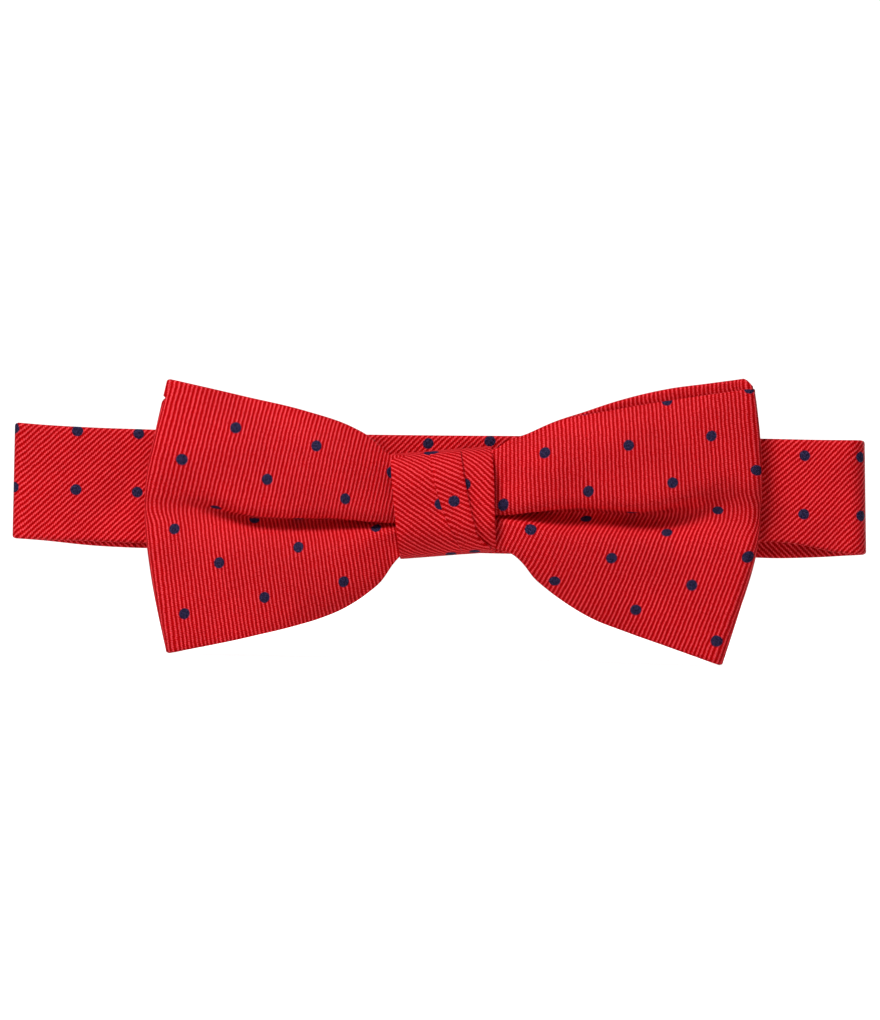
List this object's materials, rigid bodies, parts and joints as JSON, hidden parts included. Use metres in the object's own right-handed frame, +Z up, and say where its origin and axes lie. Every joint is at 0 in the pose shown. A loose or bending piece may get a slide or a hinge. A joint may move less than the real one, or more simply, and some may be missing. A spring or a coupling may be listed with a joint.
{
  "type": "bow tie",
  "caption": "Pre-tied dotted bow tie on an adjustable neck band with a hook, an eye and a slide, folded flat.",
  "frame": {"origin": "middle of the neck band's inner face, behind the knot, where the band rests on the collar", "axes": "+X along the bow, to a viewer's right (the wearer's left), +Z up when worn, -Y towards the viewer"},
  "size_m": [0.1594, 0.0175, 0.0541],
  "materials": {
    "dotted_twill": "fine corded twill in red with small raised navy dots, soft sheen",
    "interlining": "matte brushed interlining",
    "red_thread": "twisted sewing thread",
    "white_thread": "twisted sewing thread",
    "label_tape": "satin label tape, blank",
    "plated_steel": "bright nickel plate with fine wear"
  },
  "bodies": {
    "root": {"bow_outer_cloth": "dotted_twill", "bow_interlining": "interlining", "bow_inner_cloth": "dotted_twill", "waist_thread": "red_thread", "knot_wrap": "dotted_twill", "knot_interlining": "interlining", "knot_tack_upper_left": "red_thread", "knot_tack_upper_right": "red_thread", "knot_tack_lower_left": "red_thread", "knot_tack_lower_right": "red_thread", "front_band": "dotted_twill", "front_band_interlining": "interlining", "care_label": "label_tape", "label_stitches_left": "white_thread", "label_stitches_right": "white_thread"},
    "left_strap": {"left_strap": "dotted_twill", "left_strap_interlining": "interlining", "hook_bartack": "red_thread"},
    "hook": {"band_hook": "plated_steel"},
    "right_strap": {"right_strap": "dotted_twill", "right_strap_interlining": "interlining", "doubled_strap": "dotted_twill"},
    "eye": {"band_eye": "plated_steel"},
    "adjuster": {"slide_adjuster": "plated_steel", "adjuster_tail": "dotted_twill", "adjuster_bartack": "red_thread"}
  },
  "joints": [
    {"name": "left_strap_swing", "type": "hinge", "parent": "root", "child": "left_strap", "pos_m": [-0.08084, 0.00095, 0], "axis": [0, 0, 1], "range_deg": [0, 180]},
    {"name": "right_strap_swing", "type": "hinge", "parent": "root", "child": "right_strap", "pos_m": [0.07981, 0.0023, 0], "axis": [0, 0, -1], "range_deg": [0, 180]},
    {"name": "hook_tilt", "type": "hinge", "parent": "left_strap", "child": "hook", "pos_m": [-0.046, 0.0033, 0], "axis": [0, 0, 1], "range_deg": [0, 75]},
    {"name": "eye_tilt", "type": "hinge", "parent": "right_strap", "child": "eye", "pos_m": [-0.024, 0.0033, 0], "axis": [0, 0, -1], "range_deg": [0, 75]},
    {"name": "adjuster_slide", "type": "slide", "parent": "right_strap", "child": "adjuster", "axis": [-1, 0, 0], "range_m": [0, 0.05], "deforming": ["doubled_strap"]}
  ]
}
